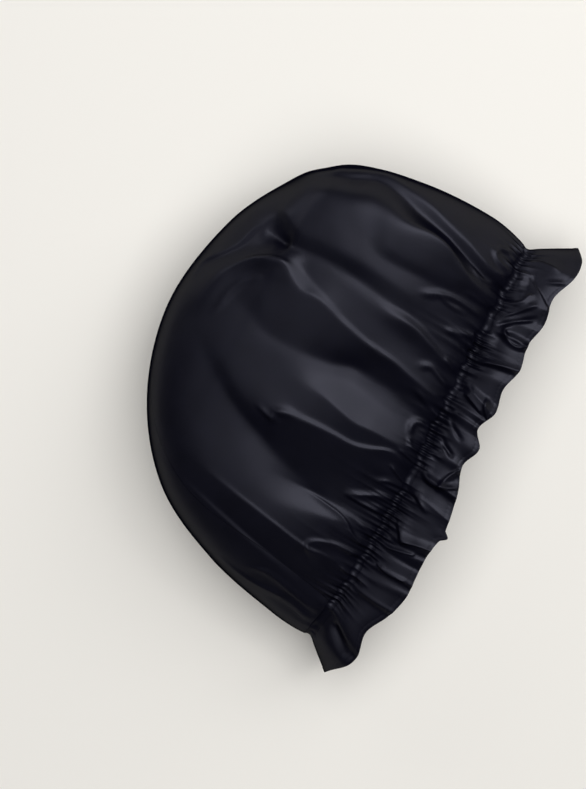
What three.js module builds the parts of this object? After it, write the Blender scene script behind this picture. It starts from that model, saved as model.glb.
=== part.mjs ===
// A satin sleep bonnet lying on its side, in millimetres, with +Z up.
// The mouth faces -Y, the top of the crown +Y. The crown is a puffed pouch of two panels that
// meet in a seam round its widest outline. A gathered elastic channel closes it at the mouth,
// and a hemmed frill flares from that channel. The cloth that meets the table lies flat on it.

import * as THREE from "three";

// Plan sizes.
const HALF_MOUTH = 122.5; // half of the mouth from side to side, over the relaxed elastic
const CROWN_DEPTH = 152.9; // from the gathers to the top of the crown
const FRILL_WIDTH = 33; // from the channel to the hem
const CHANNEL_WIDTH = 5; // of the gathered elastic channel
const SIDE_FLARE = 13; // how far the frill stands out past each end of the mouth
const BOW = 7; // how far the upper gathers sag away from the crown

// Heights.
const REST_HEIGHT = 34; // of the widest outline over the table
const HALF_GAPE = 27; // half of the mouth's opening, bottom to top
const CROWN_RISE = 58; // how far the crown puffs up over its widest outline
const CROWN_SAG = 50; // how far it would hang below that outline with no table under it
const PLUMP = 0.5; // how the crown's sides swell: 1 is a plain ellipse, less is flatter on top
const PUFF_DEPTH = 0.35; // how far up the crown fills out, as a share of CROWN_DEPTH
const FOLD_RISE = 10; // of a full fold over the cloth beside it
const FRILL_LIFT = 5; // how far the upper frill arches up before its hem
const TIP_DROOP = 6; // how far the frill's two end tips hang below the ends of the mouth

// Cloth.
const CLOTH_WALL = 1.2;
const CHANNEL_WALL = 2.4; // two layers and the elastic between them
const HEM_WALL = 2; // the turned edge of the frill
const SEAM_GAP = 0.5; // between neighbouring pieces
const PUCKER = 0.9; // how far a gather stands out of the channel
const GATHERS = 40; // round the channel
const FRILL_WAVE = 5; // of the lower frill's waves, crest over middle
const LOWER_WAVES = 9;
const LOWER_REACH = 0.52; // of the lower frill on the table, as a share of FRILL_WIDTH
const BLEND = 5; // height over which cloth bends into lying flat

// How finely the cloth is divided.
const PANEL_COLUMNS = 40;
const PANEL_ROWS = 24;
const RING_COLUMNS = 120;

// The widest outline, seen from above, from the +X end of the mouth over the top to the -X end.
// turn is in degrees, side a share of HALF_MOUTH, depth a share of CROWN_DEPTH.
// seam is how many degrees of the crown's roundness the seam lies past that outline.
const OUTLINE = [
  { turn: 0, side: 1.0, depth: 0.0, seam: 6 },
  { turn: 10, side: 1.033, depth: 0.146, seam: 6 },
  { turn: 25, side: 1.016, depth: 0.38, seam: 6 },
  { turn: 40, side: 0.943, depth: 0.633, seam: 6 },
  { turn: 48, side: 0.846, depth: 0.753, seam: 6 },
  { turn: 55, side: 0.73, depth: 0.835, seam: 5 },
  { turn: 70, side: 0.433, depth: 0.953, seam: 3 },
  { turn: 90, side: 0.0, depth: 1.0, seam: -4 },
  { turn: 110, side: -0.412, depth: 0.905, seam: -12 },
  { turn: 130, side: -0.733, depth: 0.7, seam: -25 },
  { turn: 150, side: -0.906, depth: 0.42, seam: -36 },
  { turn: 170, side: -0.984, depth: 0.139, seam: -38 },
  { turn: 180, side: -0.998, depth: 0.0, seam: -36 },
];

// The crown's long folds, from -X to +X. Each is a line that runs up the cloth, with flat cloth
// between it and the next one. The stations are shares of CROWN_DEPTH. side is where the line lies
// at each of them, as a share of HALF_MOUTH, height a share of FOLD_RISE, and round how gently the
// cloth bends at the line, as a share of HALF_MOUTH.
const STATIONS = [0, 0.2, 0.4, 0.6, 0.8];
const LONG_FOLDS = [
  { side: [-0.95, -0.93, -0.88, -0.8, -0.7], height: [0, 0, 0, 0, 0], round: 0.025 },
  { side: [-0.64, -0.64, -0.6, -0.57, -0.5], height: [0.2, 0.3, 0.2, 0.15, 0.1], round: 0.02 },
  { side: [-0.54, -0.53, -0.51, -0.47, -0.42], height: [-0.2, -0.4, -0.4, -0.1, 0], round: 0.035 },
  { side: [-0.4, -0.41, -0.36, -0.27, -0.14], height: [-0.6, -1.1, -0.9, -0.35, -0.1], round: 0.025 },
  { side: [-0.31, -0.3, -0.27, -0.2, -0.08], height: [-0.3, -0.6, -0.2, 0, 0.1], round: 0.035 },
  { side: [-0.1, -0.16, -0.18, -0.15, -0.04], height: [0.3, 0.1, 0.1, 0.1, 0.05], round: 0.02 },
  { side: [-0.06, -0.06, -0.03, 0, 0.07], height: [0.25, 0.15, 0, 0, 0], round: 0.02 },
  { side: [0.11, 0.14, 0.13, 0.09, 0.13], height: [-0.55, -0.9, -0.75, -0.15, -0.05], round: 0.02 },
  { side: [0.21, 0.24, 0.28, 0.34, 0.35], height: [0.2, 0.05, 0.2, 0.5, 0.3], round: 0.02 },
  { side: [0.38, 0.43, 0.44, 0.45, 0.45], height: [0.2, 0.3, 0.3, 0.4, 0.2], round: 0.025 },
  { side: [0.44, 0.48, 0.48, 0.47, 0.48], height: [-0.1, 0, 0.2, 0.35, 0.2], round: 0.02 },
  { side: [0.53, 0.53, 0.53, 0.52, 0.53], height: [0.2, 0.4, 0.6, 0.7, 0.4], round: 0.02 },
  { side: [0.67, 0.66, 0.68, 0.72, 0.68], height: [0.25, 0.7, 1, 1.2, 0.7], round: 0.025 },
  { side: [0.71, 0.75, 0.77, 0.79, 0.72], height: [0.45, 0.9, 0.95, 1.15, 0.6], round: 0.025 },
  { side: [0.81, 0.85, 0.91, 0.89, 0.78], height: [0.5, 0.75, 0.7, 0.75, 0.4], round: 0.02 },
  { side: [1.02, 1.03, 1.02, 0.95, 0.82], height: [0, 0, 0, 0, 0], round: 0.035 },
];

// Shorter folds that lie over them, one row each. Each path point is a share of HALF_MOUTH and of
// CROWN_DEPTH. rise is a share of FOLD_RISE, left and right the reach of each flank as a share of
// HALF_MOUTH.
const CROWN_FOLDS = [
  { path: [[-0.66, 0.12], [-0.62, 0.14], [-0.58, 0.1], [-0.56, 0.02]], rise: 0.25, left: 0.04, right: 0.05 },
  { path: [[-0.29, 0.0], [-0.32, 0.05], [-0.35, 0.09], [-0.37, 0.13]], rise: 0.25, left: 0.05, right: 0.04 },
  { path: [[0.3, 0.0], [0.31, 0.04], [0.32, 0.08], [0.3, 0.12]], rise: 0.2, left: 0.04, right: 0.05 },
  { path: [[0.39, 0.7], [0.33, 0.81], [0.19, 0.87], [-0.03, 0.9]], rise: 0.5, left: 0.13, right: 0.05 },
];

// Folds of the cloth underneath, in the same columns.
const UNDER_FOLDS = [
  { path: [[-0.55, 0.0], [-0.58, 0.15], [-0.6, 0.3], [-0.6, 0.5]], rise: 0.5, left: 0.14, right: 0.14 },
  { path: [[-0.12, 0.0], [-0.12, 0.12], [-0.15, 0.25], [-0.16, 0.4]], rise: 0.6, left: 0.15, right: 0.15 },
  { path: [[0.3, 0.0], [0.32, 0.15], [0.34, 0.3], [0.36, 0.45]], rise: 0.55, left: 0.15, right: 0.15 },
  { path: [[0.68, 0.0], [0.7, 0.12], [0.74, 0.25], [0.76, 0.38]], rise: 0.45, left: 0.12, right: 0.12 },
];

// How far the upper frill's hem lies in front of the channel: at is a share of HALF_MOUTH from the
// middle, reach a share of FRILL_WIDTH.
const HEM = [
  { at: -1.0, reach: 0.48 }, { at: -0.9, reach: 0.73 }, { at: -0.79, reach: 0.61 }, { at: -0.7, reach: 0.76 },
  { at: -0.6, reach: 0.84 }, { at: -0.5, reach: 0.8 }, { at: -0.4, reach: 0.78 }, { at: -0.3, reach: 0.86 },
  { at: -0.2, reach: 0.79 }, { at: -0.1, reach: 0.71 }, { at: 0.0, reach: 0.59 }, { at: 0.1, reach: 0.71 },
  { at: 0.17, reach: 0.54 }, { at: 0.27, reach: 0.68 }, { at: 0.37, reach: 0.62 }, { at: 0.47, reach: 0.72 },
  { at: 0.58, reach: 0.66 }, { at: 0.68, reach: 0.74 }, { at: 0.78, reach: 0.67 }, { at: 0.88, reach: 0.82 },
  { at: 0.95, reach: 0.82 }, { at: 1.0, reach: 0.66 },
];

// The upper frill's folds: top and hem are where the crest leaves the channel and meets the hem, as
// shares of HALF_MOUTH, rise and the flanks as in the crown's folds.
const FRILL_FOLDS = [
  { top: -0.88, hem: -0.96, rise: -0.35, left: 0.06, right: 0.06 },
  { top: -0.71, hem: -0.72, rise: 0.5, left: 0.1, right: 0.05 },
  { top: -0.64, hem: -0.64, rise: -0.35, left: 0.05, right: 0.05 },
  { top: -0.56, hem: -0.56, rise: 0.55, left: 0.05, right: 0.09 },
  { top: -0.41, hem: -0.36, rise: 0.55, left: 0.08, right: 0.06 },
  { top: -0.3, hem: -0.36, rise: -0.4, left: 0.05, right: 0.06 },
  { top: -0.18, hem: -0.24, rise: 0.5, left: 0.08, right: 0.08 },
  { top: -0.05, hem: -0.1, rise: -0.5, left: 0.07, right: 0.07 },
  { top: 0.08, hem: 0.1, rise: 0.45, left: 0.07, right: 0.08 },
  { top: 0.2, hem: 0.18, rise: -0.4, left: 0.05, right: 0.05 },
  { top: 0.31, hem: 0.27, rise: 0.6, left: 0.07, right: 0.09 },
  { top: 0.43, hem: 0.45, rise: -0.5, left: 0.06, right: 0.06 },
  { top: 0.52, hem: 0.56, rise: 0.65, left: 0.07, right: 0.1 },
  { top: 0.65, hem: 0.72, rise: -0.5, left: 0.06, right: 0.06 },
  { top: 0.76, hem: 0.8, rise: 0.55, left: 0.08, right: 0.08 },
  { top: 0.87, hem: 0.86, rise: -0.35, left: 0.05, right: 0.05 },
];

const CLOTH = { color: 0x12121a, roughness: 0.38, metalness: 0 };

const clamp01 = (x) => Math.min(1, Math.max(0, x));
const ease = (x) => clamp01(x) ** 2 * (3 - 2 * clamp01(x));
const bump = (x) => (Math.abs(x) < 1 ? (1 - x * x) ** 2 : 0);

// Reads a column of a table at any place, by a smooth curve through its rows.
function between(rows, key, at, column) {
  let i = 0;
  while (i < rows.length - 2 && at > rows[i + 1][key]) i++;
  const value = (k) => rows[Math.min(rows.length - 1, Math.max(0, k))][column];
  const x = clamp01((at - rows[i][key]) / (rows[i + 1][key] - rows[i][key]));
  const [a, b, c, d] = [value(i - 1), value(i), value(i + 1), value(i + 2)];
  return b + 0.5 * x * (c - a + x * (2 * a - 5 * b + 4 * c - d + x * (3 * (b - c) + d - a)));
}

// Lets a height settle flat on the table, bending over BLEND.
function settle(z) {
  if (z > BLEND) return z;
  return z < -BLEND ? 0 : (z + BLEND) ** 2 / (4 * BLEND);
}

// Height that one fold adds at a place seen from above. The fold's crest follows its path, each
// flank falls away over its own width, and both ends fade out.
function foldHeight(fold, x, y) {
  let best = Infinity, lean = 0, along = 0;
  for (let i = 0; i < fold.path.length - 1; i++) {
    const [ax, ay] = [fold.path[i][0] * HALF_MOUTH, fold.path[i][1] * CROWN_DEPTH];
    const [bx, by] = [fold.path[i + 1][0] * HALF_MOUTH, fold.path[i + 1][1] * CROWN_DEPTH];
    const [dx, dy] = [bx - ax, by - ay];
    const t = clamp01(((x - ax) * dx + (y - ay) * dy) / (dx * dx + dy * dy));
    const away = Math.hypot(x - ax - t * dx, y - ay - t * dy);
    if (away < best) {
      best = away;
      lean = ((x - ax) * dy - (y - ay) * dx) / (Math.hypot(dx, dy) * Math.max(away, 0.01));
      along = (i + t) / (fold.path.length - 1);
    }
  }
  const flank = HALF_MOUTH * (fold.left + (fold.right - fold.left) * ease(0.5 + lean / 2));
  const fade = ease((1 - along) / 0.35) * (0.4 + 0.6 * ease(along / 0.2));
  return FOLD_RISE * fold.rise * fade * bump(best / flank);
}

// Height of the long folds at a place seen from above: straight between one line and the next.
// Each line adds its change of slope times a ramp with a rounded bend.
function longFolds(x, y) {
  const rows = LONG_FOLDS.map(({ side, height, round }) => {
    const stations = STATIONS.map((up, i) => ({ up, side: side[i], height: height[i] }));
    const read = (column) => between(stations, "up", y / CROWN_DEPTH, column);
    return { at: HALF_MOUTH * read("side"), height: FOLD_RISE * read("height"), bend: HALF_MOUTH * round };
  });
  const slope = rows.map((row, i) => {
    const next = rows[i + 1] ?? { at: Infinity, height: row.height };
    return (next.height - row.height) / (next.at - row.at);
  });
  return rows.reduce((sum, row, i) => {
    const off = x - row.at;
    return sum + ((slope[i] - (i ? slope[i - 1] : 0)) * (off + Math.hypot(off, row.bend))) / 2;
  }, rows[0].height);
}

// How far the gathers lie in front of the mouth's straight line: across runs from -1 to 1 over
// the mouth, up from 0 at its ends to 1 at its top.
const sag = (across, up) => (up > 0 ? BOW * up * up * (0.55 - 0.75 * across) : 0);

// A point of the crown. turn is the direction from the middle of the mouth, seen from above, and
// round runs from 0 at the highest point through 90 at the widest outline to 180 underneath.
function crownPoint(turn, round) {
  const around = THREE.MathUtils.degToRad(round);
  const [out, up] = [Math.sin(around), Math.cos(around)];
  const across = between(OUTLINE, "turn", turn, "side") * out;
  const deep = between(OUTLINE, "turn", turn, "depth") * out;
  const [x, y] = [across * HALF_MOUTH, deep * CROWN_DEPTH];
  const puff = 1 - Math.exp(-deep / PUFF_DEPTH);
  const full = up > 0 ? CROWN_RISE : CROWN_SAG;
  const tall = HALF_GAPE + (full - HALF_GAPE) * puff;
  const z = Math.sign(up) * Math.abs(up) ** (1 - (1 - PLUMP) * ease(puff)) * tall;
  const folds = up > 0 ? CROWN_FOLDS : UNDER_FOLDS;
  let lift = folds.reduce((sum, fold) => sum + foldHeight(fold, x, y), 0);
  if (up > 0) lift += longFolds(x, y) * ease((0.92 - y / CROWN_DEPTH) / 0.16);
  const free = ease(deep / 0.1) * ease(Math.abs(up) / 0.5);
  const wide = HALF_MOUTH + (CROWN_DEPTH - HALF_MOUTH) * puff;
  const outward = new THREE.Vector3(x / wide ** 2, y / CROWN_DEPTH ** 2, z / tall ** 2);
  outward.normalize().multiplyScalar(lift * free);
  const y0 = y - sag(across, up) * Math.exp(-deep / 0.12);
  return new THREE.Vector3(x + outward.x, y0 + outward.y, settle(REST_HEIGHT + z + outward.z));
}

// A panel's point over a half disc whose straight edge is the mouth and whose rim is the seam.
// The upper panel runs from the top of the crown to the seam, the lower from underneath to it.
function panelPoint(x, y, upper) {
  const turn = THREE.MathUtils.radToDeg(Math.atan2(y, x));
  const seam = 90 + between(OUTLINE, "turn", turn, "seam");
  const halfGap = SEAM_GAP / 2 / crownPoint(turn, seam - 0.5).distanceTo(crownPoint(turn, seam + 0.5));
  const part = Math.hypot(x, y);
  return crownPoint(turn, upper ? part * (seam - halfGap) : 180 - part * (180 - seam - halfGap));
}

// Lengths along the mouth's ellipse, for places that lie evenly round it.
const STEPS = 4000;
const lengths = [0];
for (let i = 1; i <= STEPS; i++) {
  const middle = ((i - 0.5) / STEPS) * 2 * Math.PI;
  lengths.push(lengths[i - 1] + Math.hypot(HALF_MOUTH * Math.sin(middle), HALF_GAPE * Math.cos(middle)));
}

// The angle on the ellipse that lies a given share of the way round it, and the share at an angle.
function angleOf(share) {
  const k = lengths.findIndex((length) => length > share * lengths[STEPS]) - 1;
  const part = (share * lengths[STEPS] - lengths[k]) / (lengths[k + 1] - lengths[k]);
  return ((k + part) / STEPS) * 2 * Math.PI;
}

function shareOf(angle) {
  const at = (((angle / (2 * Math.PI)) % 1) + 1) % 1 * STEPS;
  const k = Math.min(STEPS - 1, Math.floor(at));
  return (lengths[k] + (at - k) * (lengths[k + 1] - lengths[k])) / lengths[STEPS];
}

// A point on the mouth's ellipse with its outward direction, both across the mouth.
function ringPoint(angle) {
  const [across, up] = [Math.cos(angle), Math.sin(angle)];
  const outward = new THREE.Vector3(across / HALF_MOUTH, 0, up / HALF_GAPE).normalize();
  const z = REST_HEIGHT + HALF_GAPE * up;
  return { across, up, outward, at: new THREE.Vector3(HALF_MOUTH * across, -sag(across, up), z) };
}

// The channel: a band round the mouth, nipped in along its middle and puckered by the elastic.
function channelPoint(angle, v) {
  const ring = ringPoint(angle);
  const pucker = PUCKER * Math.cos(GATHERS * 2 * Math.PI * shareOf(angle)) * ease(Math.abs(ring.up) / 0.5);
  const nip = 0.5 * Math.sin(Math.PI * v) ** 2;
  const point = ring.at.clone().addScaledVector(ring.outward, pucker - nip * PUCKER);
  point.y -= SEAM_GAP + v * CHANNEL_WIDTH;
  return point;
}

// The frill: it leaves the channel, flares, waves more towards its hem and lies on the table below.
function frillPoint(angle, t) {
  const ring = ringPoint(angle);
  const { across, up, outward } = ring;
  const upper = ease(0.5 + up);
  let wave = FRILL_WAVE * Math.sin(LOWER_WAVES * 4 * Math.PI * shareOf(angle)) * (1 - upper);
  for (const fold of FRILL_FOLDS) {
    const off = across - fold.top - (fold.hem - fold.top) * t;
    wave += FOLD_RISE * fold.rise * bump(off / (off > 0 ? fold.right : fold.left)) * upper;
  }
  const end = between(HEM, "at", across, "reach");
  const reach = FRILL_WIDTH * (end + (LOWER_REACH - end) * (1 - upper) * up * up);
  const free = ease(Math.abs(up) / 0.5);
  const lift = free * (wave * t + FRILL_LIFT * Math.sin(2.6 * t));
  const point = ring.at.clone().addScaledVector(outward, lift);
  point.x += SIDE_FLARE * t * Math.sign(across) * Math.abs(across) ** 3;
  point.z -= TIP_DROOP * t * (1 - free);
  point.y -= 2 * SEAM_GAP + CHANNEL_WIDTH + reach * t;
  point.z = settle(point.z + (up < 0 ? up * FRILL_LIFT * t * 2 : 0));
  return point;
}

// Outward direction of a surface of two parameters, from places a little to each side of one.
function normalAt(surface, p, q) {
  const near = 0.015;
  const along = surface(p + near, q).sub(surface(p - near, q));
  const onward = surface(p, q + near).sub(surface(p, Math.max(0, q - near)));
  return along.cross(onward).normalize();
}

// Makes one closed wall of cloth under a surface. placeAt gives the surface's two parameters at
// each column and row, wallAt the thickness down the rows. ring closes the wall sideways, and
// slantAt picks which way a cell is cut in two.
function clothWall({ name, columns, rows, surface, placeAt, wallAt, ring = false, slantAt = () => true }) {
  const across = ring ? columns : columns + 1;
  const outer = [];
  const inner = [];
  for (let j = 0; j <= rows; j++) {
    for (let i = 0; i < across; i++) {
      const [p, q] = placeAt(i / columns, j / rows);
      outer.push(surface(p, q));
      inner.push(surface(p, q).addScaledVector(normalAt(surface, p, q), -wallAt(j / rows)));
    }
  }
  const at = (i, j) => j * across + (i % across);
  const faces = [];
  for (let j = 0; j < rows; j++) {
    for (let i = 0; i < columns; i++) {
      const [a, b, c, d] = [at(i, j), at(i + 1, j), at(i + 1, j + 1), at(i, j + 1)];
      faces.push(...(slantAt((i + 0.5) / columns) ? [a, b, c, a, c, d] : [a, b, d, b, c, d]));
    }
  }
  const count = outer.length;
  const all = [...faces];
  for (let k = 0; k < faces.length; k += 3) {
    all.push(faces[k] + count, faces[k + 2] + count, faces[k + 1] + count);
  }
  const rim = (a, b) => all.push(b, a, a + count, b, a + count, b + count);
  for (let i = 0; i < columns; i++) {
    rim(at(i, 0), at(i + 1, 0));
    rim(at(i + 1, rows), at(i, rows));
  }
  for (let j = 0; !ring && j < rows; j++) {
    rim(at(0, j + 1), at(0, j));
    rim(at(columns, j), at(columns, j + 1));
  }
  const body = new THREE.BufferGeometry().setFromPoints([...outer, ...inner]);
  body.setIndex(all);
  const mesh = new THREE.Mesh(body, new THREE.MeshStandardMaterial(CLOTH));
  mesh.name = name;
  return mesh;
}

// A panel on a square grid bent into its half disc. Both panels share the grid, so their edges
// meet point for point along the seam. x runs the other way underneath, to face down.
function panel(name, upper) {
  const placeAt = (i, j) => {
    const u = 2 * i - 1;
    return [u * Math.sqrt(1 - (j * j) / 2), j * Math.sqrt(1 - (u * u) / 2)];
  };
  return clothWall({
    name, columns: PANEL_COLUMNS, rows: PANEL_ROWS, placeAt,
    surface: (x, y) => panelPoint(upper ? x : -x, y, upper),
    wallAt: () => CLOTH_WALL, slantAt: (i) => i > 0.5,
  });
}

const onRing = (i, j) => [angleOf(i), j];
const channel = clothWall({
  name: "elastic_channel", columns: RING_COLUMNS, rows: 2, ring: true,
  surface: channelPoint, placeAt: onRing, wallAt: () => CHANNEL_WALL,
});
const frill = clothWall({
  name: "frill", columns: RING_COLUMNS, rows: 3, ring: true,
  surface: frillPoint, placeAt: onRing, wallAt: (t) => (t === 1 ? HEM_WALL : CLOTH_WALL),
});

const bonnet = new THREE.Group();
bonnet.add(panel("upper_panel", true), panel("lower_panel", false), channel, frill);

// Stands the bonnet with the middle of its plan on the origin.
const box = new THREE.Box3().setFromObject(bonnet);
const middle = box.getCenter(new THREE.Vector3());
bonnet.position.set(-middle.x, -middle.y, -box.min.z);
bonnet.updateMatrixWorld(true);

export default bonnet;
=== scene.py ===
"""A satin sleep bonnet lying on its side on a pale floor, seen from straight above.

The crown is a puffed pouch of two panels that meet in a seam. A puckered elastic channel closes it
at the mouth, and a hemmed frill flares from the channel. Plan places are in millimetres from the
middle of the mouth: x along the mouth, y towards the top of the crown.
"""

import math

import bpy
import numpy as np
from mathutils import Matrix, Vector


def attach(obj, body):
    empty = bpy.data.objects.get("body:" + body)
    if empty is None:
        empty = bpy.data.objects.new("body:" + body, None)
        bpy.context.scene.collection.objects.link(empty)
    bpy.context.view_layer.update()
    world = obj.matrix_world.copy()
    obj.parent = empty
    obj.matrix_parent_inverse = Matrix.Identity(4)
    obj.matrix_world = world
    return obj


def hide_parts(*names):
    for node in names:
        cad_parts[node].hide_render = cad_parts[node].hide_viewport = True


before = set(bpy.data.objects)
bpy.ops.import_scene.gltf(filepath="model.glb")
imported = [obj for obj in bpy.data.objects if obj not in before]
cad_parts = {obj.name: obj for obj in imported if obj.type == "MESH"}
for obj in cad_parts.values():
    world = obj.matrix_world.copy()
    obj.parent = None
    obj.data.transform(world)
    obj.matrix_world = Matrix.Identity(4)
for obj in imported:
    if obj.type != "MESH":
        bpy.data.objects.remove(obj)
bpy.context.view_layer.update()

# Sizes in millimetres, as the solids have them.
HALF_MOUTH = 122.5
CROWN_DEPTH = 152.9
FRILL_WIDTH = 33.0
CHANNEL_WIDTH = 5.0
SIDE_FLARE = 13.0
BOW = 7.0
REST_HEIGHT = 34.0
HALF_GAPE = 27.0
CROWN_RISE = 58.0
CROWN_SAG = 50.0
PUFF_DEPTH = 0.35  # how far up the crown fills out, as a share of CROWN_DEPTH
PLUMP = 0.5  # how the crown's side swells: 1 is a plain ellipse, less is flatter on top
FRILL_LIFT = 5.0
TIP_DROOP = 6.0
FRILL_WAVE = 5.0
LOWER_WAVES = 9
LOWER_REACH = 0.52
BLEND = 5.0

# Sizes that only show here.
CLOTH_WALL = 0.5
SEAM_GAP = 0.06  # sewn edges meet
HEM = 2.6  # width of the frill's turned edge
STITCH = 2.2  # from one hem stitch to the next
NIP = 0.5  # how far the crown and frill are drawn in where they meet the channel
PINCH = 1.0  # how much further the elastic draws in the channel's middle
FINE_PLEAT = 0.9
FRILL_RISE = 3.0  # how far the upper frill rises between the channel and the hem
HEM_WALL = 0.18  # how much thicker the turned hem is
STITCH_DEPTH = 0.14
PLAN_TO_FRAME = -56.7  # the plan's middle of the mouth, along Y in the frame

# The camera looks straight down. TURN is the direction of the picture's right side in the plan.
TURN = -60.4
CAMERA_OVER = (-11.5, 69.3)  # plan place under the picture's centre
CAMERA_HEIGHT = 1300.0  # over the crown's widest outline
PICTURE_HEIGHT = 431.3  # what the picture's long side spans at that outline

# The widest outline: direction from the middle of the mouth in degrees, side and depth as shares of
# HALF_MOUTH and CROWN_DEPTH, and how many degrees of roundness past it the seam lies.
OUTLINE = np.array([
    (0, 1.0, 0.0, 6), (10, 1.033, 0.146, 6), (25, 1.016, 0.38, 6), (40, 0.943, 0.633, 6),
    (48, 0.846, 0.753, 6), (55, 0.73, 0.835, 5), (70, 0.433, 0.953, 3), (90, 0.0, 1.0, -4),
    (110, -0.412, 0.905, -12), (130, -0.733, 0.7, -25), (150, -0.906, 0.42, -36),
    (170, -0.984, 0.139, -38), (180, -0.998, 0.0, -36),
])

# The places of folds are measured from the middle of the channel, as they are seen from above.
GATHER_LINE = 2.5  # how far it lies in front of the crown's edge

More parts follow.
